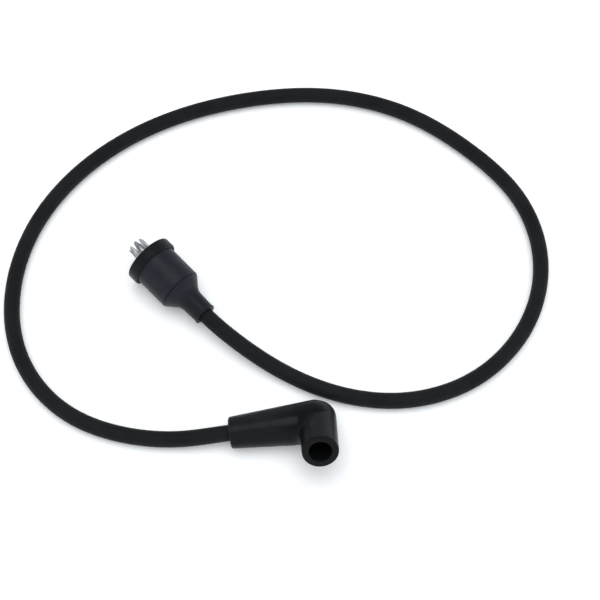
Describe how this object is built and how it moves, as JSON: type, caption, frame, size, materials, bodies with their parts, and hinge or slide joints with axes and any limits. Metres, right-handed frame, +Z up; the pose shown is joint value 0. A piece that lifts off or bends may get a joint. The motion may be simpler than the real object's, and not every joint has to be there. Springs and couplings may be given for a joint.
{
  "type": "ignition coil wire",
  "caption": "High-tension ignition lead with a straight flanged boot over a pronged coil terminal and a right-angle boot over a socket terminal, lying in an open loop.",
  "frame": {"origin": "on the table, in the middle of the box round the two boots and their terminals", "axes": "+Z up from the table; +Y away from the elbow boot's mouth, which opens towards -Y and up; +X along the table, towards the elbow boot's head"},
  "size_m": [0.2442, 0.1941, 0.028],
  "materials": {
    "jacket_rubber": "satin black extruded jacket",
    "boot_rubber": "satin black moulding",
    "tinned_brass": "bright tin plate on rolled sheet",
    "spring_steel": "drawn wire",
    "tinned_copper": "stranded and tinned"
  },
  "bodies": {
    "root": {"cable": "jacket_rubber", "straight_boot": "boot_rubber", "elbow_boot": "boot_rubber", "prong_terminal": "tinned_brass", "socket_terminal": "tinned_brass", "socket_spring": "spring_steel", "straight_conductor_end": "tinned_copper", "elbow_conductor_end": "tinned_copper"}
  },
  "joints": []
}
